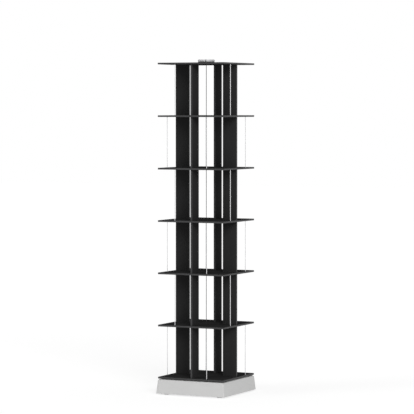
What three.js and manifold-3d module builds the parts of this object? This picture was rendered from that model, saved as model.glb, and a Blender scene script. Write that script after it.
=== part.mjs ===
// A revolving book tower in millimetres, +Z up, with its origin on the floor under the axis.
// Seven square shelves carry six levels of book compartments. A tie rod through the middle
// clamps the stack under a turned hub, and the stack turns on a ball ring over a tapered plinth.
import * as THREE from "three";
import { mergeVertices } from "three/addons/utils/BufferGeometryUtils.js";
import Module from "manifold-3d";

// Clearance left where one piece sits in or on another
const seatClearance = 0.3;

// Shelves and the levels between them
const levelCount = 6;
const clearHeight = 277.6;
const shelfSide = 400;
const shelfThickness = 9;
const shelfCornerRadius = 8;
const shelfWeb = 1.4;

// Upright panels, one in the middle of each side of a level
const panelLength = 83.2;
const panelThickness = 10.4;
const panelEdgeInset = 13.7;
const pegDiameter = 5;
const pegSpacing = 50;

// Guard rods, one in front of every second compartment side
const guardRodDiameter = 3.4;
const guardRodEdgeInset = 7.5;
const guardRodPlaceShare = 0.5;

// Tie rod through the whole stack
const tieRodDiameter = 3.2;
const tieRodTail = 2;
const tieRodHeadDiameter = 14;
const tieRodHeadThickness = 2.2;

// Turned hub that clamps the stack from above
const hubDiameter = 92;
const hubHeight = 18.5;
const hubRimHeight = 10.1;
const hubFootDiameter = 74;
const hubEdgeBreak = 0.6;
const hubSlitWidth = 3.4;
const hubSlitBearing = THREE.MathUtils.degToRad(22.5);

// Plinth, a tapered shell with a rounded shoulder, on four legs that end as its feet
const plinthTopSide = 397.8;
const plinthBottomSide = 412.8;
const plinthHeight = 78.4;
const plinthCornerRadius = 4;
const plinthShoulderRadius = 10;
const plinthWall = 3;
const plinthDeckThickness = 6;
const footDiameter = 33;
const footHeight = 6.5;
const footEdgeInset = 44.4;
const footEdgeBreak = 1;

// Ball ring between the plinth's deck and the race under the bottom shelf
const trackDiameter = 280;
const ballDiameter = 5;
const ballCount = 16;
const cageWidth = 12;
const cageThickness = 1.6;
const raceWidth = 24;
const raceThickness = 2.9;
const raceGap = 2.6;
const channelDepth = 2.2;
const channelMargin = 2;

// How far a cutter reaches past the faces that it cuts
const cutOverrun = 1;

// Counts of facets
const cornerSegments = 3;
const pegSides = 6;
const rodSides = 10;
const rodSeatSides = 8;
const hubSides = 40;
const hubArcSteps = 4;
const shoulderSteps = 4;
const footSides = 16;
const trackSides = 54;
const trackProfileSides = 10;
const ballSides = 8;
const ballRings = 6;

// Places that follow from the sizes above
const channelFloor = footHeight + plinthHeight - channelDepth;
const raceBottom = channelFloor + raceGap;
const bottomShelfUnderside = raceBottom + raceThickness + seatClearance;
const levelPitch = clearHeight + shelfThickness;
const shelfUnderside = (index) => bottomShelfUnderside + index * levelPitch;
const topShelfTop = shelfUnderside(levelCount) + shelfThickness;
const hubBottom = topShelfTop + seatClearance;
const hubTop = hubBottom + hubHeight;
const ballCentreHeight = channelFloor + raceGap / 2;
const panelReach = shelfSide / 2 - panelEdgeInset - panelLength / 2;
const guardRodReach = shelfSide / 2 - guardRodEdgeInset;
const guardRodOffset = guardRodReach * guardRodPlaceShare;
const footReach = plinthBottomSide / 2 - footEdgeInset;
const blindHoleDepth = (shelfThickness - shelfWeb) / 2;
const seatDepth = blindHoleDepth - seatClearance;
const quarterTurns = ["front", "right", "back", "left"];

const finish = (color, roughness, metalness) =>
  new THREE.MeshStandardMaterial({ color, roughness, metalness });
const blackLacquer = finish(0x1f1f21, 0.45, 0);
const blackEnamel = finish(0x18181a, 0.4, 0.3);
const satinSteel = finish(0xc4c5c7, 0.35, 0.9);
const satinAluminium = finish(0xcfd0d2, 0.3, 0.9);
const greyPaint = finish(0xc9c9c9, 0.55, 0);
const bearingSteel = finish(0x9fa2a6, 0.3, 1);

const wasm = await Module();
wasm.setup();

// The closed geometry as a solid that can be joined and cut.
function solidOf(geometry) {
  const bare = geometry.clone();
  bare.deleteAttribute("normal");
  bare.deleteAttribute("uv");
  const merged = mergeVertices(bare);
  return new wasm.Manifold(
    new wasm.Mesh({
      numProp: 3,
      vertProperties: merged.getAttribute("position").array,
      triVerts: new Uint32Array(merged.index.array),
    }),
  );
}

// The solid as a geometry for a mesh.
function geometryOf(solid) {
  const mesh = solid.getMesh();
  const geometry = new THREE.BufferGeometry();
  geometry.setAttribute("position", new THREE.BufferAttribute(mesh.vertProperties, 3));
  geometry.setIndex(new THREE.BufferAttribute(mesh.triVerts, 1));
  geometry.computeVertexNormals();
  return geometry;
}

// The first geometry with the others joined to it.
function joined(first, ...others) {
  return geometryOf(others.reduce((sum, other) => sum.add(solidOf(other)), solidOf(first)));
}

// The blank with the cutters taken out of it.
function cut(blank, cutters) {
  return geometryOf(cutters.reduce((rest, cutter) => rest.subtract(solidOf(cutter)), solidOf(blank)));
}

// A round bar along Z that stands on its base height.
function bar(radius, base, length, sides) {
  const geometry = new THREE.CylinderGeometry(radius, radius, length, sides);
  return geometry.rotateX(Math.PI / 2).translate(0, 0, base + length / 2);
}

// A profile of radius and height turned round Z.
function turned(points, sides) {
  const profile = points.map(([radius, height]) => new THREE.Vector2(radius, height));
  return new THREE.LatheGeometry(profile, sides).rotateX(Math.PI / 2);
}

// A square block with rounded corners that has each side of its profile at that side's height.
function squareBlock(profile, radius) {
  const [[baseSide]] = profile;
  const half = baseSide / 2;
  const core = half - radius;
  const outline = new THREE.Shape();
  outline.moveTo(-core, -half);
  outline.lineTo(core, -half);
  outline.absarc(core, -core, radius, -Math.PI / 2, 0);
  outline.lineTo(half, core);
  outline.absarc(core, core, radius, 0, Math.PI / 2);
  outline.lineTo(-core, half);
  outline.absarc(-core, core, radius, Math.PI / 2, Math.PI);
  outline.lineTo(-half, -core);
  outline.absarc(-core, -core, radius, Math.PI, Math.PI * 1.5);
  const steps = profile.length - 1;
  const block = new THREE.ExtrudeGeometry(outline, {
    depth: steps,
    steps,
    bevelEnabled: false,
    curveSegments: cornerSegments,
  });
  const position = block.getAttribute("position");
  for (let i = 0; i < position.count; i += 1) {
    const [side, height] = profile[Math.round(position.getZ(i))];
    const scale = side / baseSide;
    position.setXYZ(i, position.getX(i) * scale, position.getY(i) * scale, height);
  }
  return block;
}

// Copies of a geometry turned round Z to the four sides of the tower.
function onFourSides(geometry) {
  return quarterTurns.map((side, turn) => geometry.clone().rotateZ((turn * Math.PI) / 2));
}

// Which way along a side its guard rod stands: it changes hands from level to level.
const guardHand = (level) => (level % 2 === 0 ? 1 : -1);

// The peg places of a panel, measured from the panel's middle.
const pegPlaces = [-pegSpacing / 2, pegSpacing / 2];

// A shelf board from its underside up, with blind seats for the pegs and rods of the levels
// that it parts, and a hole for the tie rod.
function shelf(index) {
  const board = squareBlock(
    [
      [shelfSide, 0],
      [shelfSide, shelfThickness],
    ],
    shelfCornerRadius,
  );
  const through = bar(
    tieRodDiameter / 2 + seatClearance,
    -cutOverrun,
    shelfThickness + 2 * cutOverrun,
    rodSides,
  );
  const cutters = [through];
  const sockets = (level, base) => {
    const depth = blindHoleDepth + cutOverrun;
    for (const place of pegPlaces) {
      const socket = bar(pegDiameter / 2 + seatClearance, base, depth, pegSides);
      cutters.push(...onFourSides(socket.translate(0, place - panelReach, 0)));
    }
    const seat = bar(guardRodDiameter / 2 + seatClearance, base, depth, rodSeatSides);
    seat.translate(guardHand(level) * guardRodOffset, -guardRodReach, 0);
    cutters.push(...onFourSides(seat));
  };
  if (index > 0) sockets(index - 1, -cutOverrun);
  if (index < levelCount) sockets(index, shelfThickness - blindHoleDepth);
  return cut(board, cutters);
}

// An upright panel that stands on the shelf face at zero height, pegged at both ends.
function panel() {
  const height = clearHeight - 2 * seatClearance;
  const board = new THREE.BoxGeometry(panelThickness, panelLength, height);
  board.translate(0, 0, clearHeight / 2);
  const pegs = pegPlaces.map((place) =>
    bar(pegDiameter / 2, -seatDepth, clearHeight + 2 * seatDepth, pegSides).translate(0, place, 0),
  );
  return joined(board, ...pegs);
}

// A guard rod whose ends stand in the shelves below and above.
function guardRod() {
  return bar(guardRodDiameter / 2, -seatDepth, clearHeight + 2 * seatDepth, rodSides);
}

// The tie rod from the head under the bottom shelf to the tail above the hub.
function tieRod() {
  const headTop = bottomShelfUnderside - seatClearance;
  const head = headTop - tieRodHeadThickness;
  const top = hubTop + tieRodTail;
  return turned(
    [
      [0, head],
      [tieRodHeadDiameter / 2, head],
      [tieRodHeadDiameter / 2, headTop],
      [tieRodDiameter / 2, headTop],
      [tieRodDiameter / 2, top],
      [0, top],
    ],
    rodSides,
  );
}

// The hub from its foot up: a rounded underside, an upright rim and a slit out of the bore.
function hub() {
  const bore = tieRodDiameter / 2 + seatClearance;
  const rim = hubDiameter / 2;
  const foot = hubFootDiameter / 2;
  const shoulder = hubHeight - hubRimHeight;
  const underside = Array.from({ length: hubArcSteps + 1 }, (_, step) => {
    const angle = (step / hubArcSteps) * (Math.PI / 2);
    return [foot + (rim - foot) * Math.sin(angle), shoulder * (1 - Math.cos(angle))];
  });
  const blank = turned(
    [
      [bore, 0],
      ...underside,
      [rim, hubHeight - hubEdgeBreak],
      [rim - hubEdgeBreak, hubHeight],
      [bore, hubHeight],
      [bore, 0],
    ],
    hubSides,
  );
  const reach = rim + cutOverrun;
  const slit = new THREE.BoxGeometry(hubSlitWidth, reach, hubHeight + 2 * cutOverrun);
  slit.translate(0, -reach / 2, hubHeight / 2).rotateZ(hubSlitBearing);
  return cut(blank, [slit]);
}

// The round track that the balls run in, with clearance round each ball.
function ballTrack() {
  const radius = ballDiameter / 2 + seatClearance;
  const profile = Array.from({ length: trackProfileSides + 1 }, (_, step) => {
    const angle = (step / trackProfileSides) * 2 * Math.PI;
    return [trackDiameter / 2 + radius * Math.cos(angle), radius * Math.sin(angle)];
  });
  return turned(profile, trackSides).translate(0, 0, ballCentreHeight);
}

// A flat ring of rectangular section on the track's circle.
function flatRing(width, base, thickness) {
  const inner = (trackDiameter - width) / 2;
  const outer = (trackDiameter + width) / 2;
  return turned(
    [
      [inner, base],
      [outer, base],
      [outer, base + thickness],
      [inner, base + thickness],
      [inner, base],
    ],
    trackSides,
  );
}

// The race fixed under the bottom shelf.
function upperRace() {
  return cut(flatRing(raceWidth, raceBottom, raceThickness), [ballTrack()]);
}

// The cage plate with its balls.
function ballRing() {
  const plate = flatRing(cageWidth, ballCentreHeight - cageThickness / 2, cageThickness);
  const balls = Array.from({ length: ballCount }, (_, index) =>
    new THREE.SphereGeometry(ballDiameter / 2, ballSides, ballRings)
      .rotateX(Math.PI / 2)
      .translate(trackDiameter / 2, 0, ballCentreHeight)
      .rotateZ((index / ballCount) * 2 * Math.PI),
  );
  return joined(plate, ...balls);
}

// The plinth's tapered block with its rounded shoulder, drawn in by an inset on its sides.
function taperedBlock(base, top, inset) {
  const radius = plinthShoulderRadius - inset;
  const slope = (plinthTopSide - plinthBottomSide) / plinthHeight;
  const sideAt = (height) => plinthBottomSide + slope * height - 2 * inset;
  const shoulder = Array.from({ length: shoulderSteps + 1 }, (_, step) => {
    const angle = (step / shoulderSteps) * (Math.PI / 2);
    const side = sideAt(top - radius) - 2 * radius * (1 - Math.cos(angle));
    return [side, top - radius + radius * Math.sin(angle)];
  });
  const block = squareBlock([[sideAt(base), base], ...shoulder], plinthCornerRadius);
  return block.translate(0, 0, footHeight);
}

// The plinth: a hollow tapered shell with four legs, and in its deck a channel for the bearing
// with the lower ball track.
function plinth() {
  const shell = taperedBlock(0, plinthHeight, 0);
  const hollowHeight = plinthHeight - plinthDeckThickness;
  const hollow = taperedBlock(-cutOverrun, hollowHeight, plinthWall);
  const channelWidth = raceWidth + 2 * channelMargin;
  const channel = flatRing(channelWidth, channelFloor, channelDepth + cutOverrun);
  const legTop = footHeight + hollowHeight + plinthDeckThickness / 2;
  const leg = turned(
    [
      [0, 0],
      [footDiameter / 2 - footEdgeBreak, 0],
      [footDiameter / 2, footEdgeBreak],
      [footDiameter / 2, legTop],
      [0, legTop],
    ],
    footSides,
  );
  const legs = onFourSides(leg.translate(footReach, -footReach, 0));
  return cut(joined(cut(shell, [hollow]), ...legs), [channel, ballTrack()]);
}

const model = new THREE.Group();

function place(group, name, geometry, material) {
  const mesh = new THREE.Mesh(geometry, material);
  mesh.name = name;
  group.add(mesh);
  return mesh;
}

place(model, "plinth", plinth(), greyPaint);
place(model, "ball_ring", ballRing(), bearingSteel);
place(model, "upper_race", upperRace(), bearingSteel);
place(model, "tie_rod", tieRod(), blackEnamel);
place(model, "hub", hub(), satinAluminium).position.z = hubBottom;

for (let index = 0; index <= levelCount; index += 1) {
  const board = place(model, `shelf_${index + 1}`, shelf(index), blackLacquer);
  board.position.z = shelfUnderside(index);
}

const panelGeometry = panel();
const guardRodGeometry = guardRod();
for (let level = 0; level < levelCount; level += 1) {
  quarterTurns.forEach((side, turn) => {
    const quarter = new THREE.Group();
    quarter.position.z = shelfUnderside(level) + shelfThickness;
    quarter.rotation.z = (turn * Math.PI) / 2;
    const upright = place(quarter, `level_${level + 1}_panel_${side}`, panelGeometry, blackLacquer);
    upright.position.y = -panelReach;
    const rod = place(quarter, `level_${level + 1}_rod_${side}`, guardRodGeometry, satinSteel);
    rod.position.set(guardHand(level) * guardRodOffset, -guardRodReach, 0);
    model.add(quarter);
  });
}

export default model;
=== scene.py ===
"""Looks of a revolving book tower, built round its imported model.

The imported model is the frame: every piece below takes its place and its main size from the
boxes of the nodes that it stands for, and rides on the body that carries them. All lengths
are in metres, +Z is up and the origin is on the floor under the tower's axis.
"""

from __future__ import annotations

import logging
import math
from dataclasses import dataclass, field
from enum import Enum, IntEnum

import bpy
import numpy as np
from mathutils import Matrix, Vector


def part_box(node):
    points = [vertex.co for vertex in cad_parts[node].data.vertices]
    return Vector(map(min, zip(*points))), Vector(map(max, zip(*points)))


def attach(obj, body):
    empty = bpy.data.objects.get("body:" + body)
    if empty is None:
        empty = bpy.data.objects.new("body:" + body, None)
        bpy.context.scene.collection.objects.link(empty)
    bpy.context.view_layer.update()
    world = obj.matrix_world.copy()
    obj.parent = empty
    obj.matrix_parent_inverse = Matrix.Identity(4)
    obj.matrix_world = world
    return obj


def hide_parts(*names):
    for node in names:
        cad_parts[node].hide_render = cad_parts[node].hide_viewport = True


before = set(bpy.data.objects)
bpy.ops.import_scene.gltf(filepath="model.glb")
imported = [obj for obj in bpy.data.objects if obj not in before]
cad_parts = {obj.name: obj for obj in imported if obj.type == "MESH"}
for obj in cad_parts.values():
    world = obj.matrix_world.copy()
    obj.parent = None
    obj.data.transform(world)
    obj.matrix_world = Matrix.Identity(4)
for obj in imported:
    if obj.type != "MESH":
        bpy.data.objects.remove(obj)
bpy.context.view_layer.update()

LOG = logging.getLogger("book_tower")

MM = 0.001
FULL_TURN = 2.0 * math.pi
QUARTER_TURN = 0.5 * math.pi
# Edges of a mesh that are sharper than this stay sharp
SMOOTH_ANGLE = math.radians(40.0)

Colour = tuple[float, float, float]
WHITE = (1.0, 1.0, 1.0, 1.0)


class Side(Enum):
    """The four sides of a level, by the words that the frame's node names use."""

    FRONT = "front"
    RIGHT = "right"
    BACK = "back"
    LEFT = "left"


class Body(Enum):
    """The bodies of the frame that pieces ride on."""

    BASE = "base"
    BALLS = "ball_ring"
    TOWER = "tower"


class Slot(Enum):
    """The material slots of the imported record."""

    BOARD = "black_board"
    ROD = "rod_steel"
    BLACK_ROD = "black_rod"
    HUB = "hub_metal"
    PLINTH = "plinth_paint"
    BEARING = "bearing_steel"


class Coat(IntEnum):
    """Which of a piece's finishes a face wears."""

    MAIN = 0
    # TRIM: board edges and panel ends; on the hub, the slit walls, whose near black is painted
    # shade.
    TRIM = 1
    # The hub's underside: smoother metal whose darker colour is painted shade.
    SMOOTH_SHADED_UNDERSIDE = 2


# Surfaces


def quads(rows: int, columns: int, rows_closed: bool, columns_closed: bool) -> np.ndarray:
    """Index the faces of a grid of points.

    Face (r, c) joins the points (r, c), (r, c + 1), (r + 1, c + 1) and (r + 1, c). With
    columns counterclockwise seen from above and rows upwards it faces outwards.

    Args:
        rows: Number of rings of points.
        columns: Number of points in a ring.
        rows_closed: Whether the last ring joins the first.
        columns_closed: Whether each ring closes on itself.

    Returns:
        An array of faces with four point indices each.
    """
    row, column = np.meshgrid(
        np.arange(rows if rows_closed else rows - 1),
        np.arange(columns if columns_closed else columns - 1),
        indexing="ij",
    )
    below, above = row * columns, (row + 1) % rows * columns
    here, there = column, (column + 1) % columns
    return np.stack([below + here, below + there, above + there, above + here], -1).reshape(-1, 4)


def arc(start: float, stop: float, steps: int) -> np.ndarray:
    """Return evenly spaced angles from start to stop, both ends included."""
    return np.linspace(start, stop, steps + 1)


def rounded_rectangle(
    half_x: np.ndarray,
    half_y: np.ndarray,
    radius: np.ndarray,
    corner_steps: int,
    edge_steps: int,
) -> np.ndarray:
    """Lay rounded rectangles, one a row, counterclockwise about the origin.

    A corner point is (sx (half_x - radius) + radius cos a, sy (half_y - radius) + radius sin a)
    with a over its quarter circle, and the points of an edge divide the straight line from one
    corner's end to the next corner's start.

    Args:
        half_x: Half of each rectangle's size along X.
        half_y: Half of each rectangle's size along Y.
        radius: Radius of each rectangle's corners.
        corner_steps: Steps round each corner.
        edge_steps: Steps along each straight edge.

    Returns:
        An array of rows, points and two coordinates.
    """
    half_x, half_y, radius = np.broadcast_arrays(*map(np.atleast_1d, (half_x, half_y, radius)))
    quarter = np.arange(4)[:, None]
    angle = quarter * QUARTER_TURN + arc(0.0, QUARTER_TURN, corner_steps)[None, :]
    sign_x = np.array([1, -1, -1, 1])[None, :, None]
    sign_y = np.array([1, 1, -1, -1])[None, :, None]
    bend = radius[:, None, None]
    corner = np.stack(
        [
            sign_x * (half_x[:, None, None] - bend) + bend * np.cos(angle)[None],
            sign_y * (half_y[:, None, None] - bend) + bend * np.sin(angle)[None],
        ],
        -1,
    )
    leave = corner[:, :, -1:, :]
    reach = np.roll(corner[:, :, :1, :], -1, axis=1)
    share = np.linspace(0.0, 1.0, edge_steps + 1)[1:-1][None, None, :, None]
    edge = leave + (reach - leave) * share
    return np.concatenate([corner, edge], axis=2).reshape(len(half_x), -1, 2)


def circles_like(outline: np.ndarray, radius: np.ndarray) -> np.ndarray:
    """Lay circles whose points have the bearings of the points of an outline.

    Args:
        outline: The points of one outline.
        radius: The radius of each circle.

    Returns:
        An array of rows, points and two coordinates.
    """
    bearing = np.arctan2(outline[:, 1], outline[:, 0])
    return radius[:, None, None] * np.stack([np.cos(bearing), np.sin(bearing)], -1)


def at_heights(rings: np.ndarray, heights: np.ndarray) -> np.ndarray:
    """Give each flat ring its height: the points (x, y) of row i become (x, y, heights[i])."""
    level = np.broadcast_to(heights[:, None, None], rings.shape[:2] + (1,))
    return np.concatenate([rings, level], -1)


def polar(radius: np.ndarray, angle: np.ndarray, height: np.ndarray) -> np.ndarray:
    """Lay the points (r cos a, r sin a, z) of radii, angles and heights."""
    flat = radius * np.cos(angle), radius * np.sin(angle)
    return np.stack(np.broadcast_arrays(*flat, height), -1)


def turned(radius: np.ndarray, heights: np.ndarray, steps: int) -> np.ndarray:
    """Turn a profile round Z.

    Args:
        radius: The profile's radii.
        heights: The profile's heights.
        steps: Steps round the axis.

    Returns:
        An array of rows, points and three coordinates.
    """
    angle = np.arange(steps) * (FULL_TURN / steps)
    return polar(radius[:, None], angle, heights[:, None])


def rounding(radius: float, steps: int) -> tuple[np.ndarray, np.ndarray]:
    """Return the insets r (1 - cos a) and the rises r sin a along a quarter circle."""
    turn = arc(0.0, QUARTER_TURN, steps)
    return radius * (1.0 - np.cos(turn)), radius * np.sin(turn)


def board_profile(thickness: float, edge: float, steps: int) -> tuple[np.ndarray, np.ndarray]:
    """Round a board's edge below and above.

    Args:
        thickness: The board's thickness.
        edge: Radius of its edges.
        steps: Steps round each edge.

    Returns:
        The insets from the outline and the heights over the underside, from below upwards.
    """
    inset, rise = rounding(edge, steps)
    heights = np.concatenate([edge - rise[::-1], thickness - edge + rise])
    return np.concatenate([inset[::-1], inset]), heights


def banded(rows: int, band: int, coat: Coat) -> np.ndarray:
    """Return the coat of each row of faces: a band of rows from the second on has its own."""
    coats = np.full((rows, 1), Coat.MAIN)
    coats[1 : 1 + band] = coat
    return coats


def link(name: str, data: bpy.types.ID) -> bpy.types.Object:
    """Put a new object with its data into the scene."""
    thing = bpy.data.objects.new(name, data)
    bpy.context.scene.collection.objects.link(thing)
    return thing


@dataclass
class Surface:
    """Rings of points and the faces between them, which become one mesh.

    Attributes:
        points: The points of each grid.
        faces: The faces, as lists of point indices.
        coats: For each face, the number of the finish that it wears.
        count: Number of points so far.
    """

    points: list[np.ndarray] = field(default_factory=list)
    faces: list[list[int]] = field(default_factory=list)
    coats: list[int] = field(default_factory=list)
    count: int = 0

    def add_rings(
        self,
        rings: np.ndarray,
        closed: bool = False,
        capped: bool = True,
        columns_closed: bool = True,
        coat: np.ndarray | int = Coat.MAIN,
    ) -> "Surface":
        """Add a grid of points with its faces.

        Args:
            rings: An array of rows, points and three coordinates.
            closed: Whether the last row joins the first.
            capped: Whether the first and last rows are closed by a face, if they don't join.
            columns_closed: Whether each row closes on itself.
            coat: Number of the finish for each face of the grid, rows first.

        Returns:
            This surface.
        """
        rows, columns = rings.shape[:2]
        indices = quads(rows, columns, closed, columns_closed) + self.count
        across = columns if columns_closed else columns - 1
        shape = (len(indices) // across, across)
        self.faces.extend(indices.tolist())
        self.coats.extend(np.broadcast_to(coat, shape).ravel().tolist())
        if capped and not closed:
            first = self.count + np.arange(columns)
            self.add_face(first[::-1]).add_face(first + (rows - 1) * columns)
        self.points.append(rings.reshape(-1, 3))
        self.count += rows * columns
        return self

    def add_face(self, indices: np.ndarray, coat: int = Coat.MAIN) -> "Surface":
        """Add one flat face over points that the surface has or gets.

        Args:
            indices: The points, counterclockwise seen from outside.
            coat: Number of the face's finish.

        Returns:
            This surface.
        """
        self.faces.append(indices.tolist())
        self.coats.append(int(coat))
        return self

    def build(
        self,
        name: str,
        finishes: tuple["Finish", ...],
        body: Body,
        slot: Slot,
        nodes: tuple[str, ...] = (),
    ) -> None:
        """Make the surface a piece with its finishes, its body and the nodes that it stands for.

        Args:
            name: The piece's name.
            finishes: The finishes that it wears, in the order of its coats.
            body: The body that it rides on.
            slot: The record's material slot; it is not used.
            nodes: The frame's nodes that it replaces.
        """
        mesh = bpy.data.meshes.new(name)
        mesh.from_pydata(np.concatenate(self.points).tolist(), [], self.faces)
        mesh.update()
        mesh.polygons.foreach_set("material_index", np.array(self.coats, dtype=np.int32))
        mesh.shade_smooth()
        mesh.set_sharp_from_angle(angle=SMOOTH_ANGLE)
        piece = link(name, mesh)
        for finish in finishes:
            mesh.materials.append(finish.material())
        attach(piece, body.value)
        if nodes:
            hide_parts(*nodes)
        LOG.info("%s: %d faces on %s", piece.name, len(mesh.polygons), body.value)


# Finishes


@dataclass(frozen=True)
class Noise:
    """A noise pattern.

    Attributes:
        scale: Cells in a metre.
        detail: Number of finer layers laid over it.
    """

    scale: float
    detail: float


@dataclass(frozen=True)
class Drift:
    """How far a pattern moves a finish from its middle.

    Attributes:
        darker: Share of the colour where the pattern is low.
        lighter: Share of the colour where it is high.
        smoother: Roughness taken off where it is low.
        rougher: Roughness added where it is high.
    """

    darker: float
    lighter: float
    smoother: float
    rougher: float


@dataclass(frozen=True)
class Relief:
    """How a pattern stands out of a surface.

    Attributes:
        depth: Its depth.
        strength: Share of it that the light shows.
    """

    depth: float
    strength: float


class Graph:
    """The node tree of a material or a world, with short ways to add and link nodes."""

    # The part of a noise's range that most of its values lie in
    NOISE_LOW = 0.3
    NOISE_HIGH = 0.7
    # Sockets of a Mix node that mixes colours
    MIX_SHARE = 0
    MIX_FIRST = 6
    MIX_SECOND = 7
    MIX_RESULT = 2

    def __init__(self, owner: bpy.types.Material | bpy.types.World, output: str) -> None:
        """Empty the owner's node tree and give it an output.

        Args:
            owner: The material or the world.
            output: The type of its output node.
        """
        owner.use_nodes = True
        self.owner = owner
        self.tree = owner.node_tree
        self.tree.nodes.clear()
        self.output = self.tree.nodes.new(output)

    def add(self, kind: str, inputs: dict | None = None, **settings: object) -> bpy.types.Node:
        """Add a node.

        Args:
            kind: The node's type.
            inputs: Values for its sockets, or output sockets to link to them.
            **settings: The node's own settings.

        Returns:
            The node.
        """
        node = self.tree.nodes.new(kind)
        for key, value in settings.items():
            setattr(node, key, value)
        for key, value in (inputs or {}).items():
            if isinstance(value, bpy.types.NodeSocket):
                self.tree.links.new(value, node.inputs[key])
            else:
                node.inputs[key].default_value = value
        return node

    def calculate(
        self, operation: str, *values: bpy.types.NodeSocket | float
    ) -> bpy.types.NodeSocket:
        """Return the result of a Math node on sockets or numbers."""
        node = self.add("ShaderNodeMath", dict(enumerate(values)), operation=operation)
        return node.outputs[0]

    def place(self, scale: tuple[float, float, float] = (1.0, 1.0, 1.0)) -> bpy.types.NodeSocket:
        """Return object coordinates in metres, stretched by a scale on each axis."""
        where = self.add("ShaderNodeTexCoord")
        stretch = self.add("ShaderNodeMapping", {"Vector": where.outputs["Object"], "Scale": scale})
        return stretch.outputs["Vector"]

    def noise(self, vector: bpy.types.NodeSocket, pattern: Noise) -> bpy.types.NodeSocket:
        """Return the value of a noise pattern at a place."""
        inputs = {"Vector": vector, "Scale": pattern.scale, "Detail": pattern.detail}
        return self.add("ShaderNodeTexNoise", inputs).outputs["Fac"]

    def remap(
        self, value: bpy.types.NodeSocket, low: float, high: float
    ) -> bpy.types.NodeSocket:
        """Return the value with noise's middle range stretched from low to high."""
        inputs = {
            "Value": value,
            "From Min": self.NOISE_LOW,
            "From Max": self.NOISE_HIGH,
            "To Min": low,
            "To Max": high,
        }
        return self.add("ShaderNodeMapRange", inputs).outputs["Result"]

    def blend(
        self, share: bpy.types.NodeSocket, first: Colour, second: Colour
    ) -> bpy.types.NodeSocket:
        """Return a colour that goes from first to second with share."""
        inputs = {
            self.MIX_SHARE: share,
            self.MIX_FIRST: (*first, 1.0),
            self.MIX_SECOND: (*second, 1.0),
        }
        return self.add("ShaderNodeMix", inputs, data_type="RGBA").outputs[self.MIX_RESULT]

    def bump(self, height: bpy.types.NodeSocket, relief: Relief) -> bpy.types.NodeSocket:
        """Return a normal bent by a height pattern."""
        inputs = {"Height": height, "Distance": relief.depth, "Strength": relief.strength}
        return self.add("ShaderNodeBump", inputs).outputs["Normal"]

    def seen(self) -> bpy.types.NodeSocket:
        """Return 1 for rays from the eye, in a reflection or through glass, and 0 for others."""
        path = self.add("ShaderNodeLightPath").outputs
        direct = self.calculate("MAXIMUM", path["Is Camera Ray"], path["Is Glossy Ray"])
        return self.calculate("MAXIMUM", direct, path["Is Transmission Ray"])

    def finish(self, shader: bpy.types.Node) -> bpy.types.Material | bpy.types.World:
        """Link the shader to the output and return the material or the world."""
        self.tree.links.new(shader.outputs[0], self.output.inputs["Surface"])
        return self.owner


def material_graph(name: str) -> Graph:
    """Start a new material with an empty node tree."""
    return Graph(bpy.data.materials.new(name), "ShaderNodeOutputMaterial")


@dataclass(frozen=True)
class Finish:
    """A finish, whose material is made once and shared by the pieces that wear it.

    Attributes:
        name: The material's name.
        colour: Its main colour, linear.
        roughness: Its middle roughness.
        drift: How far its patterns move its colour and its roughness.
        relief: Relief of its finest pattern.
    """

    name: str
    colour: Colour
    roughness: float
    drift: Drift
    relief: Relief

    def material(self) -> bpy.types.Material:
        """Return the material, made on the first call."""
        return bpy.data.materials.get(self.name) or self.make()

    def make(self) -> bpy.types.Material:
        """Build the material. Each kind of finish has its own."""
        raise NotImplementedError

    def shade(self, factor: float) -> Colour:
        """Return the main colour made lighter or darker by a factor."""
        return tuple(channel * factor for channel in self.colour)

    def mix(
        self,
        graph: Graph,
        tone: bpy.types.NodeSocket,
        gloss: bpy.types.NodeSocket,
        height: bpy.types.NodeSocket,
        further: dict[str, float],
    ) -> bpy.types.Material:
        """Build the shader from the finish's patterns.

        Args:
            graph: The material's graph.
            tone: The pattern that drifts the colour.
            gloss: The pattern that drifts the roughness.
            height: The pattern of the relief.
            further: Values for further sockets of the shader.

        Returns:
            The material.
        """
        drift = self.drift
        dark, light = self.shade(drift.darker), self.shade(drift.lighter)
        smooth, rough = self.roughness - drift.smoother, self.roughness + drift.rougher
        inputs = {
            "Base Color": graph.blend(graph.remap(tone, 0.0, 1.0), dark, light),
            "Roughness": graph.remap(gloss, smooth, rough),
            "Normal": graph.bump(height, self.relief),
        }
        return graph.finish(graph.add("ShaderNodeBsdfPrincipled", inputs | further))


@dataclass(frozen=True)
class Lacquer(Finish):
    """Matt sprayed lacquer: a fine peel, which takes the light in grains, and soft clouds.

    Attributes:
        sheen: How strongly the lacquer reflects, against 0.5 for common paint.
        peel: The peel's grains.
        clouds: The drift of tone and gloss over a board.
    """

    drift: Drift = Drift(darker=0.93, lighter=1.07, smoother=0.05, rougher=0.05)
    relief: Relief = Relief(depth=0.1 * MM, strength=0.6)
    sheen: float = 0.16
    peel: Noise = Noise(700.0, 2.0)
    clouds: Noise = Noise(9.0, 3.0)

    def make(self) -> bpy.types.Material:
        """Tone the lacquer by the mean of peel and clouds, and gloss it by the clouds."""
        graph = material_graph(self.name)
        place = graph.place()
        clouds = graph.noise(place, self.clouds)
        peel = graph.noise(place, self.peel)
        tone = graph.calculate("MULTIPLY", graph.calculate("ADD", clouds, peel), 0.5)
        return self.mix(graph, tone, clouds, peel, {"Specular IOR Level": self.sheen})


@dataclass(frozen=True)
class PowderCoat(Finish):
    """Powder paint on sheet steel: a fine grain and a slight drift of tone.

    Attributes:
        grain: The paint's grain.
        tones: The drift of tone over a wall.
    """

    drift: Drift = Drift(darker=0.985, lighter=1.015, smoother=0.05, rougher=0.05)
    relief: Relief = Relief(depth=0.09 * MM, strength=0.35)
    grain: Noise = Noise(900.0, 2.0)
    tones: Noise = Noise(7.0, 3.0)

    def make(self) -> bpy.types.Material:
        """Tone the paint by its slow drift, and gloss and raise it by its grain."""
        graph = material_graph(self.name)
        place = graph.place()
        grain = graph.noise(place, self.grain)
        return self.mix(graph, graph.noise(place, self.tones), grain, grain, {})


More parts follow.
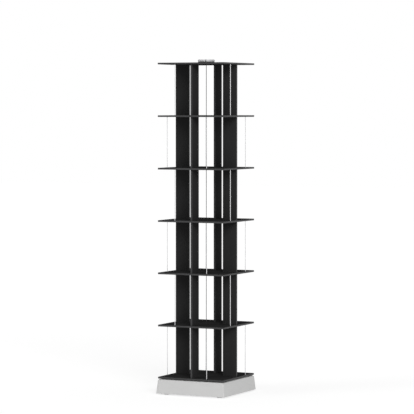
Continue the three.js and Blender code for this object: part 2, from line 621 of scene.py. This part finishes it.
@dataclass(frozen=True)
class DrawnMetal(Finish):
    """Bright drawn bar: fine lines along its length.

    Attributes:
        lines: The lines, seen across the bar.
        along_share: How fast they change along the bar, as a share of across it.
    """

    drift: Drift = Drift(darker=0.95, lighter=1.03, smoother=0.06, rougher=0.08)
    relief: Relief = Relief(depth=0.006 * MM, strength=0.4)
    lines: Noise = Noise(2600.0, 3.0)
    along_share: float = 0.012

    def make(self) -> bpy.types.Material:
        """Stretch a noise along Z and use it for the lines and the gloss."""
        graph = material_graph(self.name)
        lines = graph.noise(graph.place((1.0, 1.0, self.along_share)), self.lines)
        return self.mix(graph, lines, lines, lines, {"Metallic": 1.0})


@dataclass(frozen=True)
class TurnedMetal(Finish):
    """Metal finished on a lathe: rings round Z on its faces and lines round its rim.

    Attributes:
        rings: The rings, along the radius and the height.
    """

    drift: Drift = Drift(darker=0.92, lighter=1.06, smoother=0.06, rougher=0.08)
    relief: Relief = Relief(depth=0.03 * MM, strength=0.4)
    rings: Noise = Noise(2400.0, 3.0)

    def make(self) -> bpy.types.Material:
        """Read a noise at (sqrt(x x + y y), 0, z), which is the same all round the axis."""
        graph = material_graph(self.name)
        where = graph.add("ShaderNodeSeparateXYZ", {"Vector": graph.place()}).outputs
        square = graph.calculate("MULTIPLY", where["X"], where["X"])
        sum_of_squares = graph.calculate("MULTIPLY_ADD", where["Y"], where["Y"], square)
        radius = graph.calculate("SQRT", sum_of_squares)
        polar = graph.add("ShaderNodeCombineXYZ", {"X": radius, "Z": where["Z"]})
        rings = graph.noise(polar.outputs["Vector"], self.rings)
        return self.mix(graph, rings, rings, rings, {"Metallic": 1.0})


BOARD_FACE = Lacquer("board_face_lacquer", (0.029, 0.029, 0.0292), 0.8, sheen=0.0)
# The boards' edges and the panels' narrow ends wear a lighter black than the faces, with more
# sheen.
BOARD_EDGE = Lacquer("board_edge_lighter_lacquer", (0.042, 0.042, 0.043), 0.55, sheen=0.25)
ROD_LACQUER = Lacquer("tie_rod_enamel", (0.010, 0.010, 0.011), 0.4, sheen=0.3)
PLINTH_PAINT = PowderCoat("plinth_powder_coat", (0.575, 0.575, 0.572), 0.55)
# The legs wear the plinth's grey made much lighter: painted light that offsets the shade under the
# plinth.
LEG_PAINTED_LIGHT = PowderCoat("leg_grey_painted_light", (0.82, 0.82, 0.81), 0.45)
ROD_STEEL = DrawnMetal("guard_rod_steel", (0.78, 0.78, 0.79), 0.26)
HUB_METAL = TurnedMetal("hub_turned_metal", (0.62, 0.62, 0.625), 0.72)
# The hub's underside is smoother metal, and its darker colour is painted shade where it faces down
# at the black shelf.
HUB_SMOOTH_SHADED_UNDERSIDE = TurnedMetal("hub_underside_smoother_painted_shade", (0.56, 0.56, 0.565), 0.35)
# Near black on the slit walls: painted shade standing for the dark inside of the narrow slit.
HUB_SLIT_SHADE = Lacquer("hub_slit_painted_shade", (0.02, 0.02, 0.02), 0.6)
BEARING_METAL = TurnedMetal("bearing_ground_metal", (0.5, 0.5, 0.52), 0.24)


# Sub-assemblies


@dataclass
class Shelves:
    """The square shelf boards, each with a bore for the tie rod.

    Attributes:
        count: Number of boards.
        corner: Radius of a board's corners, seen from above.
        edge: Radius of its edges.
        bore: Radius of the tie rod's bore.
        support: Width of the flat strip beside the rounded edge.
        edge_steps: Steps round an edge.
        corner_steps: Steps round a corner.
        side_steps: Steps along a side.
    """

    count: int
    corner: float = 8.0 * MM
    edge: float = 0.8 * MM
    bore: float = 1.9 * MM
    support: float = 0.6 * MM
    edge_steps: int = 5
    corner_steps: int = 10
    side_steps: int = 8

    def rings(self, half: float, thickness: float) -> np.ndarray:
        """Lay the closed loop of rings: up the edge, in over the top, down the bore and out.

        Args:
            half: Half of the board's side.
            thickness: The board's thickness.

        Returns:
            The rings, with heights over the underside.
        """
        inset, height = board_profile(thickness, self.edge, self.edge_steps)
        inner = self.edge + self.support
        inset = np.concatenate([[inner], inset, [inner]])
        height = np.concatenate([[0.0], height, [thickness]])
        outline = rounded_rectangle(
            half - inset, half - inset, self.corner - inset, self.corner_steps, self.side_steps
        )
        bore = circles_like(outline[0], np.array([self.bore, self.bore]))
        heights = np.concatenate([height, [thickness, 0.0]])
        return at_heights(np.concatenate([outline, bore]), heights)

    def build(self) -> None:
        """Build every board in the place of its node."""
        for number in range(1, self.count + 1):
            node = f"shelf_{number}"
            low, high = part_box(node)
            rings = self.rings(high.x, high.z - low.z) + np.array([0.0, 0.0, low.z])
            coat = banded(len(rings), 2 * self.edge_steps + 1, Coat.TRIM)
            surface = Surface().add_rings(rings, closed=True, coat=coat)
            name = f"board_{number}"
            surface.build(name, (BOARD_FACE, BOARD_EDGE), Body.TOWER, Slot.BOARD, (node,))


@dataclass
class Panels:
    """The upright panels, one in the middle of each side of each level.

    Attributes:
        levels: Number of levels.
        edge: Radius of a panel's upright edges.
        chamfer: Depth of the fine chamfer at a panel's ends, which draws the joint.
        corner_steps: Steps round an upright edge.
        side_steps: Steps along a side.
    """

    levels: int
    edge: float = 0.8 * MM
    chamfer: float = 0.25 * MM
    corner_steps: int = 5
    side_steps: int = 2

    def rings(self, low: Vector, high: Vector, bottom: float, top: float) -> np.ndarray:
        """Carry the panel's rounded outline from one shelf to the next.

        Args:
            low: The lowest corner of the panel's node.
            high: Its highest corner.
            bottom: Top face of the shelf below.
            top: Underside of the shelf above.

        Returns:
            The rings from below upwards.
        """
        inset = np.array([self.chamfer, 0.0, 0.0, self.chamfer])
        heights = np.array([bottom, bottom + self.chamfer, top - self.chamfer, top])
        half_x, half_y = (high.x - low.x) / 2, (high.y - low.y) / 2
        outline = rounded_rectangle(
            half_x - inset, half_y - inset, self.edge - inset, self.corner_steps, self.side_steps
        )
        middle = np.array([(high.x + low.x) / 2, (high.y + low.y) / 2])
        return at_heights(outline + middle, heights)

    def coats(self, outline: np.ndarray, low: Vector, high: Vector) -> np.ndarray:
        """Give the edge's coat to the faces of the panel's two narrow ends.

        Args:
            outline: The points of the panel's outline.
            low: The lowest corner of the panel's node.
            high: Its highest corner.

        Returns:
            The number of the coat for each step of the outline.
        """
        across = 0 if high.x - low.x > high.y - low.y else 1
        middle = (outline[:, across] + np.roll(outline[:, across], -1)) / 2
        depth = np.minimum(middle - low[across], high[across] - middle)
        return np.where(depth < self.edge, Coat.TRIM, Coat.MAIN)

    def build(self) -> None:
        """Build the panels of every level between the shelves that hold them."""
        for level in range(1, self.levels + 1):
            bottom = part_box(f"shelf_{level}")[1].z
            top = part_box(f"shelf_{level + 1}")[0].z
            for side in Side:
                node = f"level_{level}_panel_{side.value}"
                low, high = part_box(node)
                rings = self.rings(low, high, bottom, top)
                surface = Surface().add_rings(rings, coat=self.coats(rings[1], low, high))
                name = f"upright_{level}_{side.value}"
                surface.build(name, (BOARD_FACE, BOARD_EDGE), Body.TOWER, Slot.BOARD, (node,))


@dataclass
class GuardRods:
    """The silver rods that keep books in, one on each side of each level.

    Attributes:
        levels: Number of levels.
        chamfer: Chamfer of a rod's ends.
        sides: Steps round a rod.
        height_steps: Rings along its shank.
    """

    levels: int
    chamfer: float = 0.3 * MM
    sides: int = 28
    height_steps: int = 6

    def rings(self, low: Vector, high: Vector) -> np.ndarray:
        """Turn a rod with chamfered ends about its own axis.

        Args:
            low: The lowest corner of the rod's node.
            high: Its highest corner.

        Returns:
            The rings from below upwards.
        """
        shank = np.linspace(low.z + self.chamfer, high.z - self.chamfer, self.height_steps)
        heights = np.concatenate([[low.z], shank, [high.z]])
        radii = np.full(len(heights), (high.x - low.x) / 2)
        radii[[0, -1]] -= self.chamfer
        middle = np.array([(high.x + low.x) / 2, (high.y + low.y) / 2, 0.0])
        return turned(radii, heights, self.sides) + middle

    def build(self) -> None:
        """Build the rods of every level."""
        for level in range(1, self.levels + 1):
            for side in Side:
                node = f"level_{level}_rod_{side.value}"
                surface = Surface().add_rings(self.rings(*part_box(node)))
                name = f"guard_rod_{level}_{side.value}"
                surface.build(name, (ROD_STEEL,), Body.TOWER, Slot.ROD, (node,))


@dataclass
class TieRod:
    """The black rod on the axis, with its head below and its threaded tail in the hub.

    Attributes:
        radius: Radius of the rod.
        head_height: Thickness of its head.
        head_edge: Radius of the head's edges.
        head_edge_steps: Steps round such an edge.
        pitch: Rise of one turn of the thread.
        thread_depth: Depth of the thread.
        dome: Height of the rounded tip.
        dome_share: Share of the tip's cross-section that the rounding takes off at its end.
        rows_a_turn: Rings for one turn of the thread.
        sides: Steps round the rod.
    """

    radius: float = 1.6 * MM
    head_height: float = 2.2 * MM
    head_edge: float = 0.5 * MM
    head_edge_steps: int = 3
    pitch: float = 0.6 * MM
    thread_depth: float = 0.3 * MM
    dome: float = 0.5 * MM
    dome_share: float = 0.75
    rows_a_turn: int = 8
    sides: int = 24

    def shank(self, low: Vector, high: Vector) -> tuple[np.ndarray, np.ndarray]:
        """Return the radii and heights from the head's underside up the shank.

        Args:
            low: The lowest corner of the rod's node.
            high: Its highest corner.

        Returns:
            The radii and the heights up to the start of the thread.
        """
        inset, height = board_profile(self.head_height, self.head_edge, self.head_edge_steps)
        radii = np.concatenate([high.x - inset, [self.radius, self.radius]])
        thread_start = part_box("hub")[0].z
        heights = np.concatenate([low.z + height, [low.z + self.head_height, thread_start]])
        return radii, heights

    def thread(self, start: float, stop: float) -> np.ndarray:
        """Cut the thread and round the tip.

        The radius is (r - d |sin(pi (z / p - a / 2 pi))|) sqrt(1 - s (1 - t) (1 - t)), where d
        grows over the first turn and t goes from 0 at the rod's end to 1 under the tip.

        Args:
            start: Height at which the thread starts.
            stop: Height of the rod's end.

        Returns:
            The rings from below upwards.
        """
        rows = max(2, round((stop - start) / self.pitch * self.rows_a_turn))
        height = np.linspace(start, stop, rows + 1)[:, None]
        angle = np.arange(self.sides) * (FULL_TURN / self.sides)
        groove = np.abs(np.sin(math.pi * (height / self.pitch - angle / FULL_TURN)))
        run_in = np.clip((height - start) / self.pitch, 0.0, 1.0)
        tip = np.clip((stop - height) / self.dome, 0.0, 1.0)
        narrowing = np.sqrt(1.0 - (1.0 - tip) ** 2 * self.dome_share)
        radius = (self.radius - self.thread_depth * groove * run_in) * narrowing
        return polar(radius, angle, height)

    def build(self) -> None:
        """Build the rod from its head to its tail."""
        low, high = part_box("tie_rod")
        radii, heights = self.shank(low, high)
        rings = np.concatenate(
            [turned(radii, heights, self.sides), self.thread(heights[-1], high.z)[1:]]
        )
        surface = Surface().add_rings(rings)
        surface.build("axis_rod", (ROD_LACQUER,), Body.TOWER, Slot.BLACK_ROD, ("tie_rod",))


@dataclass
class Hub:
    """The turned hub: a flat top, an upright rim, a rounded underside and a slit to the bore.

    Attributes:
        rim_height: Height of the upright rim.
        foot: Radius of the foot that stands on the top shelf.
        bore: Radius of the bore.
        slit: Width of the slit.
        bearing: Direction of the slit, from the front towards the right.
        edge: Radius of the rim's upper edge.
        support: Width of the flat strip beside that edge.
        edge_steps: Steps round that edge.
        underside_steps: Steps round the underside.
        turn_steps: Steps from one wall of the slit round to the other.
    """

    rim_height: float = 10.1 * MM
    foot: float = 37.0 * MM
    bore: float = 1.9 * MM
    slit: float = 3.4 * MM
    bearing: float = math.radians(22.5)
    edge: float = 0.7 * MM
    support: float = 0.7 * MM
    edge_steps: int = 5
    underside_steps: int = 14
    turn_steps: int = 160

    def profile(self, rim: float, height: float) -> tuple[np.ndarray, np.ndarray]:
        """Return the closed profile, counterclockwise from the bore's foot.

        The underside is a quarter of an ellipse: r = foot + (rim - foot) sin a and
        z = shoulder (1 - cos a).

        Args:
            rim: Radius of the rim.
            height: Height of the hub.

        Returns:
            The radii and the heights over the hub's foot.
        """
        shoulder = height - self.rim_height
        angle = arc(0.0, QUARTER_TURN, self.underside_steps)
        under_r = self.foot + (rim - self.foot) * np.sin(angle)
        under_z = shoulder * (1.0 - np.cos(angle))
        inset, rise = rounding(self.edge, self.edge_steps)
        edge_z = height - self.edge + rise
        flat = rim - self.edge - self.support
        radii = np.concatenate([[self.bore], under_r, rim - inset, [flat, self.bore]])
        heights = np.concatenate([[0.0], under_z, edge_z, [height, height]])
        return radii, heights

    def build(self) -> None:
        """Sweep the profile from one wall of the slit round to the other.

        At radius r the sweep runs from the angle asin(slit / 2 r) to a full turn less that,
        so the slit keeps its width from the bore to the rim.
        """
        low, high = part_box("hub")
        radii, heights = self.profile(high.x, high.z - low.z)
        opening = np.arcsin(np.minimum(self.slit / 2 / radii, 1.0))[:, None]
        share = np.linspace(0.0, 1.0, self.turn_steps + 1)
        start = self.bearing - QUARTER_TURN
        angle = start + opening + share * (FULL_TURN - 2.0 * opening)
        grid = polar(radii[:, None], angle, (low.z + heights)[:, None])
        rows, columns = grid.shape[:2]
        # The underside's rows wear the smoother metal, darkened as painted shade.
        surface = Surface().add_rings(
            grid,
            closed=True,
            capped=False,
            columns_closed=False,
            coat=banded(rows, self.underside_steps, Coat.SMOOTH_SHADED_UNDERSIDE),
        )
        # The slit's two walls wear the near black of painted shade.
        wall = np.arange(rows) * columns
        surface.add_face(wall, coat=Coat.TRIM)
        surface.add_face((wall + columns - 1)[::-1], coat=Coat.TRIM)
        finishes = (HUB_METAL, HUB_SLIT_SHADE, HUB_SMOOTH_SHADED_UNDERSIDE)
        surface.build("clamp_hub", finishes, Body.TOWER, Slot.HUB, ("hub",))


@dataclass
class Bearing:
    """The ball track's parts between the plinth and the bottom shelf.

    Attributes:
        track: Radius of the circle that the balls run on.
        ball: Radius of a ball.
        balls: Number of balls.
        ball_rows: Steps of a ball from pole to pole.
        ball_sides: Steps round a ball.
        groove: Radius of the grooves that the balls run in.
        groove_steps: Steps across a groove.
        cage_width: Width of the cage's plate.
        cage_height: Thickness of the cage's plate.
        edge: Radius or chamfer of the cage's and the race's edges.
        edge_steps: Steps round an edge of the cage.
        turn_steps: Steps round the track.
    """

    track: float = 140.0 * MM
    ball: float = 2.5 * MM
    balls: int = 16
    ball_rows: int = 16
    ball_sides: int = 24
    groove: float = 2.8 * MM
    groove_steps: int = 12
    cage_width: float = 12.0 * MM
    cage_height: float = 1.6 * MM
    edge: float = 0.3 * MM
    edge_steps: int = 3
    turn_steps: int = 240

    def centre(self) -> float:
        """Return the height of the balls' centres, the middle of the ball ring's node."""
        low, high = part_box("ball_ring")
        return (low.z + high.z) / 2

    def groove_arc(self, face: float) -> tuple[np.ndarray, np.ndarray]:
        """Return the groove's arc over a face, from the track's inside to its outside.

        The arc is (track - g cos a, centre + g sin a), where it lies beyond the face.

        Args:
            face: Height of the face that the groove is cut into.

        Returns:
            The radii and the heights along the arc.
        """
        centre = self.centre()
        reach = face - centre
        start = math.asin(min(1.0, abs(reach) / self.groove))
        angle = arc(start, math.pi - start, self.groove_steps)
        sign = math.copysign(1.0, reach)
        radii = self.track - self.groove * np.cos(angle)
        return radii, centre + sign * self.groove * np.sin(angle)

    def race(self) -> None:
        """Build the race under the bottom shelf."""
        low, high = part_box("upper_race")
        outer = high.x
        inner = 2.0 * self.track - outer
        groove_r, groove_z = self.groove_arc(low.z)
        radii = np.concatenate(
            [[inner, inner + self.edge], groove_r, [outer - self.edge, outer, outer, inner]]
        )
        heights = np.concatenate(
            [[low.z + self.edge, low.z], groove_z, [low.z, low.z + self.edge, high.z, high.z]]
        )
        surface = Surface().add_rings(turned(radii, heights, self.turn_steps), closed=True)
        surface.build("turning_race", (BEARING_METAL,), Body.TOWER, Slot.BEARING, ("upper_race",))

    def cage(self) -> None:
        """Build the cage's plate and its balls as one piece."""
        centre = self.centre()
        inner, outer = self.track - self.cage_width / 2, self.track + self.cage_width / 2
        inset, height = board_profile(self.cage_height, self.edge, self.edge_steps)
        base = centre - self.cage_height / 2
        radii = np.concatenate([outer - inset, (inner + inset)[::-1]])
        heights = base + np.concatenate([height, height[::-1]])
        surface = Surface().add_rings(turned(radii, heights, self.turn_steps), closed=True)
        tilt = arc(-QUARTER_TURN, QUARTER_TURN, self.ball_rows)[1:-1]
        sphere = turned(self.ball * np.cos(tilt), self.ball * np.sin(tilt), self.ball_sides)
        for number in range(self.balls):
            bearing = number * FULL_TURN / self.balls
            seat = [self.track * math.cos(bearing), self.track * math.sin(bearing), centre]
            surface.add_rings(sphere + np.array(seat))
        surface.build("caged_balls", (BEARING_METAL,), Body.BALLS, Slot.BEARING, ("ball_ring",))

    def build(self) -> None:
        """Build the race and the caged balls."""
        self.race()
        self.cage()


@dataclass
class Plinth:
    """The tapered plinth: a hollow shell with a ball track in its deck and four legs.

    Attributes:
        bearing: The bearing, whose lower track is in the deck.
        foot_height: Height of the feet under the shell's rim.
        bottom_half: Half of the shell's side at its rim.
        top_half: Half of its side at the deck, before the shoulder is rounded.
        corner: Radius of its corners, seen from above.
        wall: Thickness of its walls.
        lip: Chamfer of the rim's edges.
        deck: Thickness of its deck.
        middle: Radius of the small flat face in the deck's middle.
        shoulder: Radius of the rounded shoulder round the deck.
        support: Width of the flat strip beside the shoulder.
        channel_depth: Depth of the bearing's channel in the deck.
        channel_half: Half of the channel's width.
        leg: Radius of a leg.
        leg_place: Distance of the legs' axes from the middle, along X and along Y.
        leg_edge: Radius of a leg's lower edge.
        corner_steps: Steps round a corner.
        side_steps: Steps along a side.
        inside_steps: Steps round the shoulder's inside.
        shoulder_steps: Steps round the shoulder.
        leg_edge_steps: Steps round a leg's lower edge.
        leg_sides: Steps round a leg.
        top: Height of the deck's upper face.
    """

    bearing: Bearing
    foot_height: float = 6.5 * MM
    bottom_half: float = 206.4 * MM
    top_half: float = 198.9 * MM
    corner: float = 4.0 * MM
    wall: float = 3.0 * MM
    lip: float = 0.75 * MM
    deck: float = 6.0 * MM
    middle: float = 5.0 * MM
    shoulder: float = 10.0 * MM
    support: float = 0.6 * MM
    channel_depth: float = 2.2 * MM
    channel_half: float = 14.0 * MM
    leg: float = 16.5 * MM
    leg_place: float = 162.0 * MM
    leg_edge: float = 1.2 * MM
    corner_steps: int = 10
    side_steps: int = 24
    inside_steps: int = 8
    shoulder_steps: int = 12
    leg_edge_steps: int = 6
    leg_sides: int = 48
    top: float = field(init=False)

    def __post_init__(self) -> None:
        """Read the height of the deck from the plinth's node."""
        self.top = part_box("plinth")[1].z

    def half_at(self, height: float | np.ndarray) -> float | np.ndarray:
        """Return half of the shell's side at a height, on the straight taper."""
        share = (height - self.foot_height) / (self.top - self.foot_height)
        return self.bottom_half + (self.top_half - self.bottom_half) * share

    def inside(self) -> tuple[np.ndarray, np.ndarray]:
        """Go from the deck's underside down to the rim's inner chamfer.

        Returns:
            Half of the side and the height of each ring.
        """
        under = self.top - self.deck
        radius = self.shoulder - self.wall
        inset, rise = rounding(radius, self.inside_steps)
        bend_half = self.half_at(under - radius) - self.wall - inset[::-1]
        bend_z = under - radius + rise[::-1]
        low_z = np.array([self.foot_height + self.lip, self.foot_height])
        low_half = self.half_at(low_z) - self.wall + np.array([0.0, self.lip])
        return np.concatenate([bend_half, low_half]), np.concatenate([bend_z, low_z])

    def outside(self) -> tuple[np.ndarray, np.ndarray]:
        """Go from the rim's outer chamfer up the wall and round the shoulder to the deck.

        Returns:
            Half of the side and the height of each ring.
        """
        rim = self.foot_height
        wall_z = np.array([rim, rim + self.lip, self.top - self.shoulder])
        wall_half = self.half_at(wall_z) - np.array([self.lip, 0.0, 0.0])
        inset, rise = rounding(self.shoulder, self.shoulder_steps)
        turn_half = wall_half[-1] - inset[1:]
        turn_z = self.top - self.shoulder + rise[1:]
        flat = turn_half[-1] - self.support
        halves = np.concatenate([wall_half, turn_half, [flat]])
        return halves, np.concatenate([wall_z, turn_z, [self.top]])

    def channel(self) -> tuple[np.ndarray, np.ndarray]:
        """Go inwards over the deck and through the bearing's channel with its ball track.

        Returns:
            The radius and the height of each ring.
        """
        floor = self.top - self.channel_depth
        groove_r, groove_z = self.bearing.groove_arc(floor)
        outer = self.bearing.track + self.channel_half
        inner = self.bearing.track - self.channel_half
        radii = np.concatenate([[outer, outer], groove_r[::-1], [inner, inner, self.middle]])
        heights = np.concatenate([[self.top, floor], groove_z[::-1], [floor, self.top, self.top]])
        return radii, heights

    def shell_rings(self) -> np.ndarray:
        """Lay the shell from the middle of the deck's underside round to the middle of its top.

        Returns:
            The rings, out under the deck, down inside, up outside and in over the track.
        """
        inside_half, inside_z = self.inside()
        outside_half, outside_z = self.outside()
        halves = np.concatenate([inside_half, outside_half])
        corners = np.full(len(halves), self.corner)
        outline = rounded_rectangle(halves, halves, corners, self.corner_steps, self.side_steps)
        channel_r, channel_z = self.channel()
        under = circles_like(outline[0], np.array([self.middle]))
        rings = np.concatenate([under, outline, circles_like(outline[0], channel_r)])
        heights = [[self.top - self.deck], inside_z, outside_z, channel_z]
        return at_heights(rings, np.concatenate(heights))

    def leg_rings(self) -> np.ndarray:
        """Turn a leg round Z, from its foot up to the deck's underside."""
        inset, rise = rounding(self.leg_edge, self.leg_edge_steps)
        radii = np.concatenate([self.leg - inset[::-1], [self.leg]])
        heights = np.concatenate([self.leg_edge - rise[::-1], [self.top - self.deck]])
        return turned(radii, heights, self.leg_sides)

    def build(self) -> None:
        """Build the shell and its legs."""
        shell = Surface().add_rings(self.shell_rings())
        shell.build("plinth_shell", (PLINTH_PAINT,), Body.BASE, Slot.PLINTH, ("plinth",))
        corners = ((1, -1), (1, 1), (-1, 1), (-1, -1))
        for number, (sign_x, sign_y) in enumerate(corners, 1):
            place = np.array([sign_x, sign_y, 0.0]) * self.leg_place
            leg = Surface().add_rings(self.leg_rings() + place)
            # The legs' lighter grey is painted light against the shade under the plinth.
            leg.build(f"plinth_leg_{number}", (LEG_PAINTED_LIGHT,), Body.BASE, Slot.PLINTH)


# Studio


def direction(bearing: float, rise: float) -> Vector:
    """Point from the axis outwards: (sin b cos r, -cos b cos r, sin r).

    Args:
        bearing: Angle from the front to the right.
        rise: Angle over the level.

    Returns:
        A vector one long.
    """
    level = math.cos(rise)
    return Vector((math.sin(bearing) * level, -math.cos(bearing) * level, math.sin(rise)))


@dataclass
class View:
    """The camera at the photograph's viewing angle.

    Attributes:
        bearing: Direction from which the camera looks, from the front to the right.
        distance: Distance of the camera from the axis, level.
        height: Height of the camera over the floor.
        drop: How far the camera looks down.
        turn: How far it looks to the left of the axis.
        focal_pixels: Focal length in pixels of a square picture of frame_pixels a side.
        frame_pixels: Side of that picture.
        film: Width of the film, in millimetres.
        sight: How far the camera sees.
    """

    bearing: float = math.radians(26.0857)
    distance: float = 12.6386
    height: float = 1.5763
    drop: float = math.radians(2.49395)
    turn: float = math.radians(-0.01696)
    focal_pixels: float = 2297.645
    frame_pixels: float = 414.0
    film: float = 36.0
    sight: float = 100.0

    def build(self) -> None:
        """Set the camera on its place and aim it."""
        data = bpy.data.cameras.new("view")
        data.sensor_width = self.film
        data.lens = self.focal_pixels * self.film / self.frame_pixels
        data.clip_end = self.sight
        camera = link("view", data)
        camera.location = (
            self.distance * math.sin(self.bearing),
            -self.distance * math.cos(self.bearing),
            self.height,
        )
        back = direction(self.bearing + self.turn, self.drop)
        camera.rotation_euler = back.to_track_quat("Z", "Y").to_euler()
        bpy.context.scene.camera = camera


@dataclass
class Lamp:
    """A far soft lamp, which lights the whole floor alike. Its angles are in degrees.

    Attributes:
        name: The lamp's name.
        bearing: Direction in which it hangs, from the front to the right.
        rise: How far over the level it hangs.
        width: Angle that it fills, seen from the tower.
        power: Light that it sends through a square metre that faces it, in watts.
        aim_height: Height on the tower's axis of the point that it faces.
        distance: Its distance from that point. Its light is the same from any distance.
    """

    name: str
    bearing: float
    rise: float
    width: float
    power: float
    aim_height: float = 0.9
    distance: float = 7.0

    def build(self) -> None:
        """Hang the lamp and aim it."""
        data = bpy.data.lights.new(self.name, "SUN")
        data.angle = math.radians(self.width)
        data.energy = self.power
        lamp = link(self.name, data)
        out = direction(math.radians(self.bearing), math.radians(self.rise))
        lamp.location = Vector((0.0, 0.0, self.aim_height)) + out * self.distance
        lamp.rotation_euler = out.to_track_quat("Z", "Y").to_euler()


@dataclass
class Studio:
    """The white studio: camera, world, floor and lamps.

    Attributes:
        floor_half: Half of the floor's side.
        floor_colour: The floor's own colour.
        floor_shadow_share: Share of the object's shadow that the eye sees on it.
        floor_glow: Strength of the even glow that the eye sees on it besides the paint.
        sky_light: Strength of the even light from all round, where 1 is white.
    """

    floor_half: float = 30.0
    floor_colour: Colour = (0.97, 0.97, 0.97)
    floor_shadow_share: float = 0.4
    floor_glow: float = 1.215
    sky_light: float = 0.4525

    def world(self) -> None:
        """Light the scene evenly, and show white to the eye and in reflections."""
        graph = Graph(bpy.data.worlds.new("studio"), "ShaderNodeOutputWorld")
        inputs = {"Value": graph.seen(), "To Min": self.sky_light, "To Max": 1.0}
        strength = graph.add("ShaderNodeMapRange", inputs).outputs["Result"]
        white = {"Color": WHITE, "Strength": strength}
        bpy.context.scene.world = graph.finish(graph.add("ShaderNodeBackground", white))

    def floor(self) -> None:
        """Lay a white floor that keeps a faint share of the object's shadow."""
        corners = np.array([[-1.0, -1.0, 0.0], [1.0, -1.0, 0.0], [1.0, 1.0, 0.0], [-1.0, 1.0, 0.0]])
        mesh = bpy.data.meshes.new("floor")
        mesh.from_pydata((corners * self.floor_half).tolist(), [], [[0, 1, 2, 3]])
        floor = link("floor", mesh)
        graph = material_graph("studio_floor")
        share = graph.calculate("MULTIPLY", graph.seen(), 1.0 - self.floor_shadow_share)
        paint = graph.add("ShaderNodeBsdfDiffuse", {"Color": (*self.floor_colour, 1.0)})
        white = {"Color": WHITE, "Strength": self.floor_glow}
        glow = graph.add("ShaderNodeEmission", white)
        inputs = {0: share, 1: paint.outputs[0], 2: glow.outputs[0]}
        mesh.materials.append(graph.finish(graph.add("ShaderNodeMixShader", inputs)))

    def build(self) -> None:
        """Set up the whole studio."""
        View().build()
        self.world()
        self.floor()
        Lamp("right_lamp", bearing=41.5, rise=23.0, width=26.0, power=1.56).build()
        Lamp("left_lamp", bearing=-42.3, rise=42.0, width=20.0, power=0.41).build()
        bpy.context.scene.view_settings.view_transform = "Standard"


def main() -> None:
    """Build the studio and every sub-assembly of the tower."""
    logging.basicConfig(level=logging.INFO, format="%(name)s: %(message)s")
    Studio().build()
    shelves = sum(name.startswith("shelf_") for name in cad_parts)
    levels = shelves - 1
    bearing = Bearing()
    for assembly in (
        Shelves(shelves),
        Panels(levels),
        GuardRods(levels),
        TieRod(),
        Hub(),
        bearing,
        Plinth(bearing),
    ):
        assembly.build()


if __name__ == "__main__":
    main()
